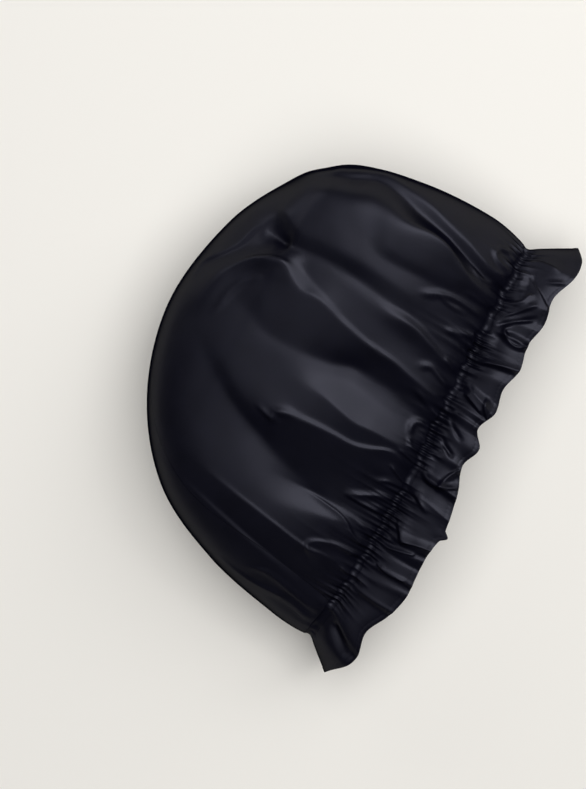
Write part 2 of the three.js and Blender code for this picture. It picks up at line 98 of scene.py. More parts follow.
# The crown's long folds, from -X to +X. Each is a line that runs up the cloth, with flat cloth
# between it and the next one. Its rows give y, x, height and how round the crest or valley is.
LINES = [
    # left edge, the fine line that the seam makes and the low strip beside the first crest
    [(-10, -119, 0, 3), (60, -112, 0, 3), (110, -92, 0, 3), (140, -80, 0, 3)],
    [(0, -102, 0.8, 0.5), (22, -98, 0.9, 0.5), (50, -93, 0.8, 0.5), (78, -87, 0.6, 0.6), (100, -82, 0.5, 1),
     (120, -77, 0.4, 2), (140, -70, 0, 4)],
    [(0, -100.5, -0.4, 0.8), (22, -96.3, -0.5, 0.8), (50, -91.3, -0.4, 0.8), (78, -85.4, -0.1, 1),
     (100, -80.5, 0.1, 1.5), (120, -75.5, 0.2, 3), (140, -68, 0, 5)],
    # first crest with its narrow lit side, and the face that turns to the light behind it
    [(-5, -79, 1.2, 0.5), (14, -79, 2.4, 0.4), (24, -80, 2.6, 0.3), (45, -77.5, 2.2, 0.3),
     (70, -74, 1.7, 0.4), (85, -71.5, 1.2, 0.8), (95, -70, 0.9, 2.5), (112, -67, 0.8, 5),
     (140, -60, 0.4, 7)],
    [(-5, -77.2, 0.4, 1), (14, -77.3, 1.4, 0.8), (24, -78.3, 1.5, 0.6), (45, -75.9, 1.2, 0.6),
     (70, -72.4, 0.8, 0.7), (85, -69.6, 0.6, 1.5), (95, -66, 0.6, 3), (112, -62, 0.4, 5),
     (140, -56, 0.3, 7)],
    [(-5, -65.5, -0.4, 0.8), (0, -64, 0.3, 0.6), (6, -61.5, 0.6, 0.6), (11, -59.3, 0.6, 0.6),
     (20, -60, 0.4, 1), (35, -64, -0.2, 3), (50, -67, -0.4, 4), (60, -67, -0.3, 5), (75, -64.5, 0, 6),
     (100, -60, 0.2, 7), (140, -52, 0, 7)],
    [(-5, -54, -1.6, 0.8), (8, -53, -2, 0.8), (20, -52.8, -3.6, 0.8), (35, -53.4, -6.4, 0.8),
     (45, -53.8, -6.8, 1), (55, -54, -5.8, 2), (65, -54, -4.2, 4), (80, -52, -2.4, 6), (110, -44, -1.2, 7),
     (140, -35, 0, 7)],
    # broad valley and the step up out of it
    [(-5, -50, -2, 1), (20, -50, -3.8, 1.2), (45, -50, -6.6, 1.5), (62, -46.5, -6.6, 2),
     (78, -40.5, -5.8, 2), (95, -34, -3.4, 2.5), (112, -24, -1.5, 4), (140, -8, 0, 6)],
    [(-5, -38, -1, 3), (30, -38, -3.4, 5), (60, -36, -3.2, 5), (78, -31.5, -1.4, 3), (95, -26.5, 0.4, 4),
     (112, -17, 1, 5), (140, -2, 0, 6)],
    # tall middle crest, the pocket beside it, and the wide bright fold
    [(-5, -17, 1, 0.5), (5, -12.5, 2.6, 0.4), (12, -12.5, 3, 0.4), (22, -17, 2.4, 0.4),
     (30, -19.3, 1.6, 0.4), (45, -19.7, 1.4, 0.4), (60, -21, 1.8, 0.5), (70, -22.5, 1.8, 0.7),
     (80, -23.5, 1.2, 2.5), (95, -19, 1.2, 5), (112, -10, 1, 6), (140, 4, 0, 6)],
    [(-5, -14.5, -0.2, 0.8), (8, -10.9, 1.8, 0.7), (20, -14.4, 1.3, 0.7), (30, -17.2, 0.5, 0.7),
     (40, -17.4, 0.2, 0.8), (50, -17.4, 0.1, 1), (60, -18, 0.3, 1.2), (70, -17.5, 0.2, 2.5),
     (80, -14, 0, 6), (95, -8, 0.4, 6), (112, -3, 0.8, 6), (140, 9, 0, 6)],
    [(-5, -6, 1.5, 0.6), (8, -7, 2.4, 0.5), (25, -7.5, 2.4, 0.5), (35, -8.3, 2.2, 0.5),
     (45, -6.5, 1.9, 0.6), (57, -4, 1.2, 1), (68, -4, 0.4, 3), (80, -2, 0, 5), (112, 4, 0.6, 6),
     (140, 14, 0, 6)],
    [(-5, 4, -1.6, 3), (10, 5, -2.6, 2.5), (25, 6, -3.8, 2.5), (40, 8.5, -5.2, 2.5), (50, 9, -5.2, 2.5),
     (60, 7, -3.6, 3), (72, 4, -1.2, 4), (80, 4, -0.4, 5), (90, 6, 0.2, 5), (112, 9, 0.4, 6),
     (140, 18, 0, 6)],
    [(-5, 12, -2.4, 1.5), (20, 16.5, -4.6, 1.2), (38, 17.8, -6.2, 1.2), (52, 18.5, -6.6, 1.2),
     (65, 14, -4.4, 1.5), (80, 11.5, -1.4, 1.5), (100, 10.8, -0.6, 1.5), (112, 14, -0.4, 3),
     (140, 22, 0, 5)],
    # tall right crest with its narrow lit side
    [(-5, 20, -1, 3), (20, 21.5, -2.4, 3), (40, 24, -3.4, 4), (65, 22, -1.4, 4), (85, 20, 0.8, 4),
     (100, 21, 1.6, 4), (112, 24, 2, 4), (140, 30, 0, 5)],
    [(-5, 29, 1.5, 0.5), (5, 26.5, 2, 0.4), (20, 28.5, 1.5, 0.4), (32, 31, 1.1, 0.4), (50, 32.5, 1.2, 0.4),
     (68, 36, 2.4, 0.4), (80, 39.5, 4, 0.5), (88, 40.3, 5, 0.7), (94, 39.3, 5.4, 0.8), (102, 42.5, 6, 0.6),
     (111, 48.3, 5.5, 0.6), (122, 46, 3.5, 3), (140, 40, 0, 6)],
    [(-5, 31, 0, 0.8), (5, 28.2, 1, 0.7), (20, 30.3, 0.6, 0.7), (32, 32.9, 0.2, 0.7), (50, 34.5, 0.2, 0.7),
     (68, 38.2, 1.4, 0.8), (80, 42.3, 2.8, 1), (90, 45.8, 2.6, 1.2), (99, 49.5, 2.6, 1.2),
     (108, 51, 3.8, 1.2), (122, 50, 2.4, 4), (140, 46, 0, 6)],
    [(-5, 41, -0.6, 2), (15, 41, -0.6, 3), (35, 45, -0.2, 4), (50, 48, 1, 5), (80, 52, 2.6, 6),
     (110, 55, 3.4, 6), (140, 51, 0, 6)],
    # short crest, the narrow step and the flat beyond it
    [(-5, 47, 1.2, 0.5), (8, 45, 2.2, 0.5), (18, 48, 2.7, 0.5), (28, 51.3, 3.4, 0.5), (38, 52.6, 4, 0.8),
     (46, 52.2, 3.6, 2), (60, 53, 3, 5), (80, 56.5, 3.6, 6), (110, 57.5, 3.6, 6), (140, 55, 0, 6)],
    [(-5, 50, 0.2, 0.8), (8, 47.8, 0.9, 0.8), (18, 51.5, 1, 0.8), (28, 55.6, 1.2, 0.8),
     (38, 57.2, 1.4, 0.8), (48, 57.8, 1.6, 1.2), (60, 59.5, 2, 1.2), (70, 60.5, 2.2, 1.2),
     (90, 60.5, 3.2, 1.2), (112, 58.5, 2.6, 1.5), (118, 59, -0.5, 1.2), (126, 60, -1.5, 1.2),
     (132, 61, 1.2, 2), (140, 62, 0, 5)],
    [(-5, 67, 1.5, 3), (20, 66, 2.5, 3), (40, 66, 4.2, 2), (60, 67, 5.4, 1.5), (80, 68, 7.5, 1.8),
     (100, 67.5, 7.5, 2.5), (114, 66, 6.5, 2.5), (124, 72, 6, 1.5), (131, 70, 3, 3), (140, 68, 1, 4)],
    [(-5, 79, 0.8, 3), (20, 79, 3, 1.5), (40, 77.6, 5.2, 1), (60, 76.5, 6, 1.2), (68, 77, 6.8, 2),
     (78, 80, 8.4, 3), (110, 81, 8.6, 5), (140, 74, 1, 5)],
    [(-5, 84, 1.5, 2), (20, 82.5, 4.8, 1.5), (40, 81.6, 7.4, 1.5), (60, 80.8, 8.4, 1.5), (68, 82, 9, 2),
     (79, 89, 9.8, 4), (110, 88, 9.6, 5), (140, 79, 1, 5)],
    # right crest, the valley inside the rim and the rim's own crest
    [(-5, 87, 2.5, 0.5), (10, 87, 6, 0.5), (20, 89, 8, 0.5), (28, 93, 9.6, 0.7), (38, 97, 11.8, 0.8),
     (48, 98, 13, 1.2), (60, 96.5, 13.4, 2.5), (70, 97, 12.8, 4), (82, 98, 11.4, 5), (95, 95, 10.8, 5),
     (110, 90, 10, 5), (140, 83, 0.5, 5)],
    [(-5, 95, -0.5, 1.2), (10, 94, 2.5, 1.2), (20, 97, 3, 1), (30, 100, 3.4, 1), (40, 103, 3, 1.4),
     (60, 107, 2, 2), (75, 111, 3, 1.6), (88, 111.5, 2.6, 1.6), (100, 106, 2.8, 1.6), (112, 99.5, 4, 2.5),
     (140, 86, 0.5, 5)],
    [(-5, 105, 3, 0.6), (3, 101, 5, 0.6), (9, 99, 6, 0.6), (16, 100.5, 7, 0.7), (28, 104.5, 7.5, 1),
     (42, 108, 7.5, 1.5), (56, 112.5, 6.6, 1.5), (70, 114.5, 6.2, 2), (84, 115.5, 6, 2), (93, 113.5, 6, 3),
     (104, 108, 6, 3), (112, 103, 5.5, 3), (140, 89, 0.5, 5)],
    [(-10, 124, 0, 4), (30, 127, 0, 4), (80, 124, 0, 4), (112, 109, 0, 4), (140, 94, 0, 4)],
]

# Shorter folds that lie over the long ones. path follows the crest, rise is its height, left and
# right are the reach of each flank, blunt is how round the crest is as a share of that reach, and
# foot and tip are the shares of the path over which the ends fade.
FOLDS = [
    # where the first crest curls over, and where the middle one hooks
    dict(path=[(-82, 21), (-78, 24.5), (-74, 20), (-71, 10), (-70, -4)],
         rise=1, left=2.6, right=7, blunt=0.1, foot=0.15, tip=0.1),
    dict(path=[(-64, -3), (-62, 5), (-58, 11), (-55.6, 18), (-54.6, 32), (-54.6, 44)],
         rise=0.9, left=4, right=1.5, blunt=0.1, foot=0.1, tip=0.3),
    dict(path=[(-21.5, 68), (-25, 75), (-30, 74)], rise=1.6, left=3, right=5, blunt=0.1, foot=0.4, tip=0.3),
    dict(path=[(-29, 75), (-28, 80), (-26, 86)], rise=1.5, left=2.5, right=4, blunt=0.1, foot=0.3, tip=0.5),
    # the arch at the top of the right crest, the arc under it and the soft swell where they end
    dict(path=[(48.5, 110), (45.5, 118), (39.5, 127), (32, 133.5), (25, 137), (15, 140), (4, 143), (-6, 145)],
         rise=3.5, left=13, right=13, blunt=0.3, foot=0.15, tip=0.5),
    dict(path=[(48.5, 109), (46.5, 117), (41.5, 126), (35, 132), (27, 135.5)],
         rise=1.3, left=6, right=2.4, blunt=0.1, foot=0.1, tip=0.6),
    dict(path=[(34, 119), (29, 125), (22, 128.5), (12, 130.5), (3, 132)],
         rise=1.2, left=3, right=4, blunt=0.15, foot=0.4, tip=0.4),
    dict(path=[(20, 151), (28, 150), (36, 144), (46, 137.5), (56, 134.5), (62, 132)],
         rise=1, left=9, right=2.2, blunt=0.1, foot=0.3, tip=0.2),
    # beside the short crest and on the right
    dict(path=[(75.5, 2), (76.5, 18), (75, 27), (72, 33), (69, 39)],
         rise=1.5, left=2.5, right=4.5, blunt=0.1, foot=0.1, tip=0.3),
    dict(path=[(72.5, 12), (72.5, 22), (74, 29)], rise=0.9, left=2, right=3, blunt=0.12, foot=0.3, tip=0.3),
    dict(path=[(65, 1), (61.5, 9), (60, 17)], rise=1.4, left=2.5, right=4, blunt=0.1, foot=0.1, tip=0.3),
    dict(path=[(94, 6), (93, 14), (97, 24)], rise=1.1, left=2.5, right=3.5, blunt=0.12, foot=0.2, tip=0.4),
    dict(path=[(104, 2), (105, 9), (108, 13.5), (112, 12), (114, 3)],
         rise=1.3, left=3, right=3, blunt=0.15, foot=0.2, tip=0.2),
    dict(path=[(82, 1), (82.5, 18)], rise=0.9, left=2, right=3.5, blunt=0.12, foot=0.2, tip=0.4),
    # small tucks just above the gathers
    dict(path=[(33.5, 1), (36.5, 8), (38.3, 14), (36, 19)],
         rise=1.5, left=2.5, right=4.5, blunt=0.1, foot=0.1, tip=0.25),
    dict(path=[(17, -4), (20, 5), (24.5, 17)], rise=1.5, left=2.5, right=4.5, blunt=0.1, foot=0.1, tip=0.4),
    dict(path=[(43, 2), (46, 9)], rise=0.9, left=2, right=3, blunt=0.15, foot=0.2, tip=0.3),
    dict(path=[(3, 6), (7, 6.5), (9.5, 3), (9.5, -4)],
         rise=1.4, left=4, right=2.5, blunt=0.12, foot=0.2, tip=0.15),
    dict(path=[(-4.5, -3), (-4, 2), (-0.5, 5)], rise=1, left=2, right=3, blunt=0.15, foot=0.2, tip=0.4),
    dict(path=[(-44.5, -2), (-45, 8), (-45, 21)],
         rise=1.6, left=2, right=5.5, blunt=0.1, foot=0.2, tip=0.4),
    dict(path=[(-35.5, -4), (-37, 4), (-41, 12), (-45, 21)],
         rise=1.4, left=4, right=4, blunt=0.1, foot=0.1, tip=0.3),
    dict(path=[(-26.5, -4), (-27.3, 3), (-29.5, 8)],
         rise=1.4, left=2, right=4, blunt=0.12, foot=0.1, tip=0.4),
    dict(path=[(-24, -6), (-21.5, 0), (-18.5, 7)],
         rise=1.3, left=2, right=3.5, blunt=0.12, foot=0.2, tip=0.3),
    dict(path=[(-11.5, -5), (-9, 7)], rise=1.2, left=1.5, right=2.5, blunt=0.12, foot=0.2, tip=0.3),
    dict(path=[(-58, -6), (-56, 2), (-55.5, 8)],
         rise=1.2, left=3, right=2.5, blunt=0.15, foot=0.1, tip=0.5),
    dict(path=[(-81.5, -7), (-80.5, 4)], rise=1.2, left=1.5, right=3, blunt=0.12, foot=0.2, tip=0.4),
    # fine lines on the side that turns under
    dict(path=[(-107, 2), (-105, 18), (-102.5, 36), (-106, 50)],
         rise=1.1, left=4, right=1.8, blunt=0.1, foot=0.1, tip=0.4),
    dict(path=[(-113, 4), (-110, 20), (-111, 45), (-107, 72)],
         rise=1.1, left=4, right=1.8, blunt=0.1, foot=0.1, tip=0.5),
]

# Folds of the cloth underneath.
UNDER_FOLDS = [
    dict(path=[(-67, 0), (-71, 23), (-73, 47), (-73, 78)],
         rise=5, left=17, right=17, blunt=0.6, foot=0.1, tip=0.5),
    dict(path=[(-15, 0), (-15, 19), (-18, 39), (-20, 62)],
         rise=6, left=18, right=18, blunt=0.6, foot=0.1, tip=0.5),
    dict(path=[(37, 0), (39, 23), (42, 47), (44, 70)],
         rise=5.5, left=18, right=18, blunt=0.6, foot=0.1, tip=0.5),
    dict(path=[(83, 0), (86, 19), (91, 39), (93, 59)],
         rise=4.5, left=15, right=15, blunt=0.6, foot=0.1, tip=0.5),
]

# How far the upper frill's hem lies in front of the channel: place along the mouth as a share of
# HALF_MOUTH, and reach as a share of FRILL_WIDTH.
HEM_LINE = np.array([
    (-1.0, 0.48), (-0.9, 0.73), (-0.79, 0.61), (-0.7, 0.76), (-0.6, 0.84), (-0.5, 0.8), (-0.4, 0.78),
    (-0.33, 0.83), (-0.305, 0.93), (-0.28, 0.84), (-0.2, 0.79), (-0.1, 0.71), (0.0, 0.59), (0.1, 0.71),
    (0.17, 0.54), (0.27, 0.68), (0.37, 0.62), (0.47, 0.72), (0.58, 0.66), (0.68, 0.74), (0.78, 0.67),
    (0.88, 0.82), (0.95, 0.82), (1.0, 0.66),
])

# The upper frill's creases, with flat cloth between them: where each leaves the channel, where it
# meets the hem, its height at both, and how round it is.
CREASES = np.array([
    (-122, -135, 0, 0, 3), (-116, -124, 1.5, 1.5, 2), (-107.5, -120, -1.6, -1.6, 1),
    (-105, -115, 1.2, 1.2, 2), (-94, -96, -0.6, -0.4, 3), (-88.5, -90.5, -1, -0.8, 1),
    (-86, -87.5, 1, 1.6, 0.5), (-84.3, -85.6, 0.2, 0.8, 0.8), (-79.5, -79, -0.3, 0.3, 1.5),
    (-77.5, -75.5, 0.5, 1, 1), (-74, -73.5, -0.6, -0.4, 1), (-72, -72, -0.8, -0.6, 1),
    (-69, -70, 1.4, 2, 0.5), (-67.3, -68, 0.6, 1.1, 0.8), (-63, -62.5, 0.2, 0.4, 0.6),
    (-61, -61, -0.6, -0.6, 0.6), (-59, -55.5, 0.9, 1.4, 0.6), (-56, -53, -0.8, -0.2, 1),
    (-53, -49.5, 0.5, 2.6, 0.5), (-48, -44, -0.8, 0.6, 1.5), (-42, -38, -0.5, 0, 2), (-30, -31, 0, 0.4, 3),
    (-24.5, -29.5, 1.2, 1.4, 0.5), (-22.8, -27.6, 0.3, 0.5, 0.8), (-17, -19.5, -1, -1.2, 1.5),
    (-14, -16.5, 2, 2.6, 0.6), (-11.5, -12.5, 0, -0.3, 1), (-5, -5, -1.4, -1.6, 1.5), (0, -1, 0.4, 0.8, 1),
    (6, 1.5, -0.5, -1, 1), (10, 4, -0.8, -1.4, 1), (14, 9, 0.4, 0.4, 1.5), (18, 14, -0.2, -0.4, 1),
    (20, 17, -0.6, -0.8, 1), (23.5, 22, 1.1, 1.3, 0.5), (25.5, 24, -0.4, -0.4, 0.8),
    (28.5, 27, 0.9, 1.4, 0.5), (31.5, 29, -0.6, -0.2, 1), (40, 31.5, 2.4, 3, 0.6), (43, 37.5, 0, -0.6, 1.2),
    (49.5, 50, 1.4, 2.4, 1.5), (51.5, 57, 0.4, 0.8, 0.8), (53.5, 59.5, 3, 3.6, 0.8),
    (71, 72, -2.4, -1.8, 1.5), (73, 73.5, 0.8, 1.6, 0.6), (76.5, 77.5, -1, -1.2, 1), (80, 84, 0.4, 0.6, 1),
    (84, 88, -0.4, -0.6, 1), (88, 92, 1.2, 0.8, 1.2), (91, 95.5, 2.8, 2.4, 0.8), (109, 98, -1.6, 1, 0.8),
    (115.5, 117, 1, 2.4, 0.8), (119, 124, 0.3, 0, 2), (123, 135, 0, 0, 3),
])

# Shorter folds over the frill's creases, in the same form as the crown's.
FRILL_FOLDS = [
    dict(path=[(-120, -23), (-113, -15), (-107, -7)],
         rise=-1, left=4, right=4, blunt=0.3, foot=0.1, tip=0.3),
    dict(path=[(-70, -31), (-70.5, -20), (-68, -11)],
         rise=1, left=1.2, right=3, blunt=0.12, foot=0.1, tip=0.3),
    dict(path=[(-55, -28), (-57, -20), (-59.5, -10)],
         rise=1, left=1.5, right=3, blunt=0.12, foot=0.1, tip=0.3),
    # a flap that overlaps the cloth above it, and the corner it turns up at the hem
    dict(path=[(-50.5, -17.5), (-43, -12), (-36, -7.5), (-33, -4)],
         rise=2.2, left=1.5, right=9, blunt=0.06, foot=0.05, tip=0.15),
    dict(path=[(-48, -37), (-49.5, -27), (-53, -15)],
         rise=1.6, left=1.5, right=5, blunt=0.08, foot=0.05, tip=0.3),
    dict(path=[(-31, -22), (-27, -14), (-24, -6)], rise=1.3, left=2, right=4, blunt=0.1, foot=0.3, tip=0.1),
    # the curl in the middle
    dict(path=[(-12, -31), (-16.3, -21), (-15.5, -13), (-11, -8), (-4, -6)],
         rise=1.6, left=2, right=4.5, blunt=0.1, foot=0.05, tip=0.3),
    dict(path=[(-3, -27), (-9, -23.5), (-16, -21.5)],
         rise=1.8, left=4.5, right=1.5, blunt=0.1, foot=0.1, tip=0.1),
    dict(path=[(-2, -15), (-1.5, -8), (-2, -2)],
         rise=1, left=1.5, right=2.5, blunt=0.15, foot=0.3, tip=0.2),
    dict(path=[(2, -20), (6, -13), (11, -7)], rise=-1.4, left=2.5, right=2.5, blunt=0.3, foot=0.2, tip=0.3),
    dict(path=[(12, -20), (16, -13), (20, -7)],
         rise=-1.2, left=2.5, right=2.5, blunt=0.3, foot=0.2, tip=0.3),
    dict(path=[(30, -22), (35, -10), (40, -2)], rise=1.6, left=1.5, right=5, blunt=0.08, foot=0.1, tip=0.1),
    dict(path=[(29, -27), (33, -22.5), (38, -21)],
         rise=1.4, left=1.5, right=3.5, blunt=0.12, foot=0.1, tip=0.3),
    # the edge of the brightest face, and the curl where it ends
    dict(path=[(59, -29), (56, -15), (51, -3)],
         rise=1.2, left=1.5, right=4, blunt=0.08, foot=0.05, tip=0.2),
    dict(path=[(52, -2), (58, -1), (66, -1)], rise=1.2, left=1.5, right=3, blunt=0.12, foot=0.3, tip=0.3),
    dict(path=[(74, -28), (70.5, -21), (72, -14), (76, -11), (79, -14)],
         rise=2, left=3, right=3, blunt=0.1, foot=0.05, tip=0.3),
    # slanting pleats on the right
    dict(path=[(95, -20), (84, -9), (76, -2)],
         rise=1.1, left=1.8, right=3.5, blunt=0.12, foot=0.2, tip=0.2),
    dict(path=[(89, -23), (81, -12), (74, -3)],
         rise=-1.3, left=2.5, right=2.5, blunt=0.3, foot=0.2, tip=0.2),
    dict(path=[(98, -13.5), (92, -10.5), (88, -4)],
         rise=0.9, left=4, right=1.5, blunt=0.1, foot=0.1, tip=0.2),
    dict(path=[(97, -25), (102, -17), (108, -8)], rise=1, left=5, right=2, blunt=0.1, foot=0.05, tip=0.2),
    dict(path=[(112, -26), (108, -18)], rise=0.9, left=2, right=3, blunt=0.15, foot=0.1, tip=0.4),
    dict(path=[(117, -20), (116.5, -10), (115, -3)],
         rise=1, left=3, right=1.8, blunt=0.12, foot=0.2, tip=0.2),
]


def ease(x):
    """Runs smoothly from 0 to 1 as x does: 3x squared less 2x cubed."""
    x = np.clip(x, 0, 1)
    return x * x * (3 - 2 * x)


def profile(reach, blunt):
    """Height over a crest at a share of its flank's reach: one less the share, squared, with the
    share rounded near the crest by blunt."""
    share = (np.sqrt(reach**2 + blunt**2) - blunt) / (math.sqrt(1 + blunt**2) - blunt)
    return np.where(share < 1, (1 - share) ** 2, 0)


def between(rows, at, column):
    """Reads a table's column at any place, by a Catmull-Rom curve through its rows."""
    i = np.clip(np.searchsorted(rows[:, 0], at, side="right") - 1, 0, len(rows) - 2)
    x = np.clip((at - rows[i, 0]) / (rows[i + 1, 0] - rows[i, 0]), 0, 1)
    a, b, c, d = (rows[np.clip(i + k, 0, len(rows) - 1), column] for k in (-1, 0, 1, 2))
    return b + 0.5 * x * (c - a + x * (2 * a - 5 * b + 4 * c - d + x * (3 * (b - c) + d - a)))


def smooth_path(path, steps=6):
    """Points along a Catmull-Rom curve through a fold's path."""
    rows = np.column_stack([np.arange(len(path)), np.array(path, float)])
    at = np.linspace(0, len(path) - 1, steps * (len(path) - 1) + 1)
    return np.column_stack([between(rows, at, 1), between(rows, at, 2)])


def fold_height(fold, x, y):
    """Height that a short fold adds at plan places: its rise times the profile of the distance to
    its path over the flank's reach, fading towards both ends of the path. Where two parts of the
    path are about as near, the side and the place along it are blended between them."""
    line = smooth_path(fold["path"])
    a, step = line[:-1, :, None], np.diff(line, axis=0)[:, :, None]
    span = (step**2).sum(axis=1)
    off = np.stack([x.ravel(), y.ravel()])[None] - a
    t = np.clip((off * step).sum(axis=1) / span, 0, 1)
    off -= t[:, None] * step
    away = np.hypot(off[:, 0], off[:, 1])
    near = away.min(axis=0)
    weight = np.exp((near - away) / 1.5)
    weight /= weight.sum(axis=0)
    lean = (off[:, 0] * step[:, 1] - off[:, 1] * step[:, 0]) / np.sqrt(span)
    lean = (weight * lean).sum(axis=0) / np.maximum(near, 0.3)
    along = (weight * (np.arange(len(span))[:, None] + t)).sum(axis=0) / len(span)
    flank = fold["left"] + (fold["right"] - fold["left"]) * ease(0.5 + lean / 2)
    fade = ease((1 - along) / fold["tip"]) * (0.3 + 0.7 * ease(along / fold["foot"]))
    return (fold["rise"] * fade * profile(near / flank, fold["blunt"])).reshape(x.shape)


def pleated(x, places, heights, rounds):
    """Height at x of a sheet folded along lines: straight between one line and the next, level
    outside them. It is the first height plus, for each line, the change of slope times a ramp whose
    bend is rounded: half of d and the root of d squared plus the roundness squared."""
    slopes = np.diff(heights, axis=0) / np.diff(places, axis=0)
    level = np.zeros_like(heights[:1])
    turns = np.diff(np.concatenate([level, slopes, level]), axis=0)
    height = heights[0].copy()
    for place, change, bend in zip(places, turns, rounds):
        d = x - place
        height += change * (d + np.sqrt(d * d + bend * bend)) / 2
    return height


def long_folds(x, y):
    """Height of the crown's long folds: pleated across, with the lines' rows read at y."""
    rows = [np.array(line, float) for line in LINES]
    places, heights, rounds = (np.stack([between(line, y, k) for line in rows]) for k in (1, 2, 3))
    return pleated(x, places, heights, rounds)


def settle(z):
    """Lets heights settle flat on the floor, bending over BLEND as a parabola."""
    return np.where(z > BLEND, z, np.where(z < -BLEND, 0, (z + BLEND) ** 2 / (4 * BLEND)))


def sag(across, up):
    """How far the upper gathers lie in front of the mouth's straight line."""
    return np.where(up > 0, BOW * up * up * (0.55 - 0.75 * across), 0)


# Lengths round the mouth's ellipse, for places that lie evenly along it.
ROUND = np.linspace(0, 2 * math.pi, 8001)
STEP = np.hypot(HALF_MOUTH * np.sin(ROUND[:-1] + ROUND[1] / 2), HALF_GAPE * np.cos(ROUND[:-1] + ROUND[1] / 2))
LENGTHS = np.concatenate([[0], np.cumsum(STEP)]) / STEP.sum()
LENGTH = 2 * math.pi * math.sqrt((HALF_MOUTH**2 + HALF_GAPE**2) / 2)


def angle_of(share):
    return np.interp(share, LENGTHS, ROUND)


def share_of(angle):
    return np.interp(np.mod(angle, 2 * math.pi), ROUND, LENGTHS)


def gathers(share):
    """Two uneven rows of pleats round the mouth, with sharp crests and round valleys: one less twice
    the size of a sine whose phase wanders, a fine row of about 150 and a broad one of about 62. Each
    is stronger in some places than in others, and weak near the left end. The last value is how far
    they push the gathers forward, in millimetres."""
    a = 2 * math.pi * share
    wander = 1.7 * np.sin(5 * a + 1) + 1.3 * np.sin(11 * a + 2.2) + 0.9 * np.sin(17 * a + 4)
    fine = 1 - 2 * np.sqrt(np.sin(75 * a + 1.6 * wander) ** 2 + 0.02)
    broad = 1 - 2 * np.sqrt(np.sin(31 * a + wander + 0.8 * np.sin(23 * a)) ** 2 + 0.01)
    jog = 0.5 * np.sin(75 * a + 1.6 * wander) + 0.7 * np.sin(31 * a + wander)
    tight = 0.3 + 0.7 * ease((np.cos(angle_of(np.mod(share, 1))) + 0.88) / 0.2)
    fine *= tight * (0.65 + 0.35 * np.sin(9 * a + 0.6))
    broad *= tight * (0.6 + 0.4 * np.sin(13 * a + 2.5))
    return fine, broad, tight * jog


def seen(x, y, z):
    """Where the camera sees a plan place at a height over the widest outline: pushed away from the
    camera's foot by the height over CAMERA_HEIGHT."""
    grow = 1 + z / CAMERA_HEIGHT
    return CAMERA_OVER[0] + (x - CAMERA_OVER[0]) * grow, CAMERA_OVER[1] + (y - CAMERA_OVER[1]) * grow


def mouth_folds(x, y):
    """Height of all the upper folds at the places where the camera sees them."""
    y = y + GATHER_LINE
    return long_folds(x, y) * ease((142 - y) / 25) + sum(fold_height(fold, x, y) for fold in FOLDS)


def crown_point(turn, around):
    """A point of the crown. It is a squashed sphere over the outline: plan places are the outline's
    times the sine of around, heights the cosine to the power of PLUMP times a bulge that fills from
    the gathers, plus the folds along the outward direction and the pleats of the gathers."""
    around = np.radians(around)
    out, up = np.sin(around), np.cos(around)
    across, deep = between(OUTLINE, turn, 1) * out, between(OUTLINE, turn, 2) * out
    x, y = across * HALF_MOUTH, deep * CROWN_DEPTH
    full = np.where(up > 0, CROWN_RISE, CROWN_SAG)
    puff = 1 - np.exp(-deep / PUFF_DEPTH)
    tall = HALF_GAPE + (full - HALF_GAPE) * puff
    swell = np.abs(up) ** (1 - (1 - PLUMP) * ease(puff))
    z = np.sign(up) * swell * tall
    y0 = y - sag(across, up) * np.exp(-deep / 0.12)
    lift = mouth_folds(*seen(x, y0, z)) * ease(up / 0.3)
    lift += sum(fold_height(fold, x, y) for fold in UNDER_FOLDS) * ease(-up / 0.4) * ease(deep / 0.06)
    fine, broad, jog = gathers(share_of(np.arctan2(up, across)))
    y0 = y0 + jog * ease(np.abs(up) / 0.3) * np.exp(-deep / 0.03)
    lift -= NIP * np.exp(-deep / 0.015)
    pleats = FINE_PLEAT * fine * np.exp(-deep / 0.03) + broad * np.exp(-deep / 0.06)
    lift += ease(np.abs(up) / 0.3) * pleats
    wide = HALF_MOUTH + (CROWN_DEPTH - HALF_MOUTH) * puff
    way = np.stack([x / wide**2, y / CROWN_DEPTH**2, z / tall**2])
    way = way / np.linalg.norm(way, axis=0) * lift
    return np.stack([x + way[0], y0 + way[1], settle(REST_HEIGHT + z + way[2])], axis=-1)


def panel_point(u, v, upper):
    """A panel's point on a square grid bent into a half disc: x is u times the root of 1 less half
    v squared, and y the reverse. The straight edge is the mouth, the round one the seam."""
    x, y = u * np.sqrt(1 - v * v / 2), v * np.sqrt(1 - u * u / 2)
    turn = np.degrees(np.arctan2(y, x))
    seam = 90 + between(OUTLINE, turn, 3)
    half_gap = math.degrees(SEAM_GAP / 2 / HALF_GAPE)
    part = np.hypot(x, y)
    return crown_point(turn, part * (seam - half_gap) if upper else 180 - part * (180 - seam - half_gap))


def ring_point(angle):
    """A point on the mouth's ellipse, with its outward direction across the mouth."""
    across, up = np.cos(angle), np.sin(angle)
    way = np.stack([across / HALF_MOUTH, 0 * up, up / HALF_GAPE], axis=-1)
    way /= np.linalg.norm(way, axis=-1, keepdims=True)
    place = np.stack([HALF_MOUTH * across, -sag(across, up), REST_HEIGHT + HALF_GAPE * up], axis=-1)
    return across, up, way, place


def at_mouth(across, up, place):
    """Height of the folds where they run through the gathers, which the channel and frill share."""
    px, py = seen(place[..., 0], place[..., 1], place[..., 2] - REST_HEIGHT)
    return mouth_folds(px, py) * ease(up / 0.3)


